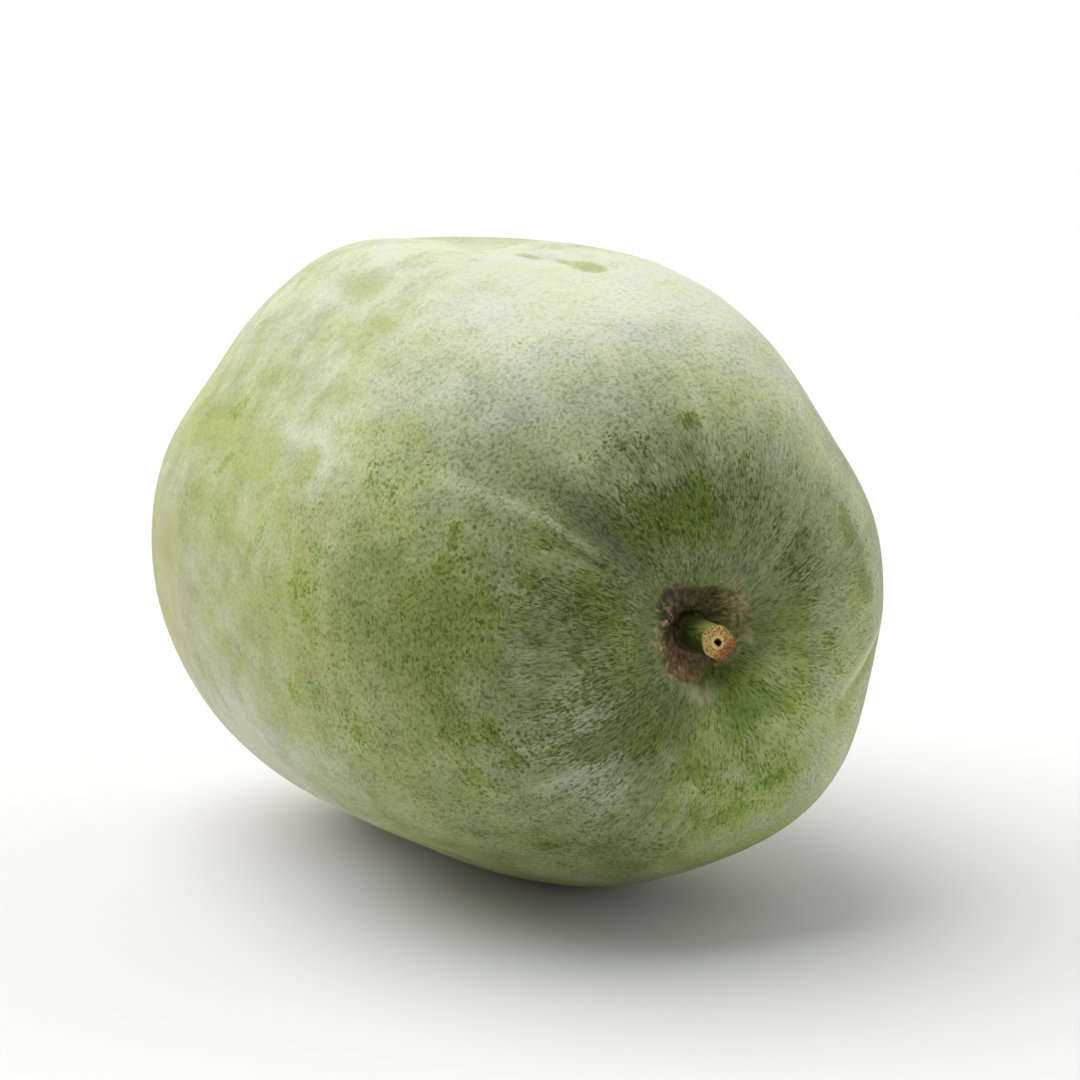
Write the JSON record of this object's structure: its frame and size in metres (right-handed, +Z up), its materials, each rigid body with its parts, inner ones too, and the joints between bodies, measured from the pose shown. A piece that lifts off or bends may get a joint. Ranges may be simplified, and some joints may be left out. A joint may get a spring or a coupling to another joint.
{
  "type": "winter melon",
  "caption": "Whole winter melon lying on its side: barrel-shaped waxy green fruit with a cut stalk stub standing in its stem cavity.",
  "frame": {"origin": "bottom centre of the whole object's box, on the surface that the fruit lies on", "axes": "+Z up; the fruit's long axis along Y, its blossom end towards +Y and its stem end towards -Y"},
  "size_m": [0.2608, 0.3268, 0.2556],
  "materials": {
    "waxy_rind": "mottled green rind under an uneven pale wax bloom, soft sheen",
    "cut_stalk": "dry corky cut face, green ribbed side"
  },
  "bodies": {
    "root": {"fruit": "waxy_rind", "stem": "cut_stalk"}
  },
  "joints": []
}
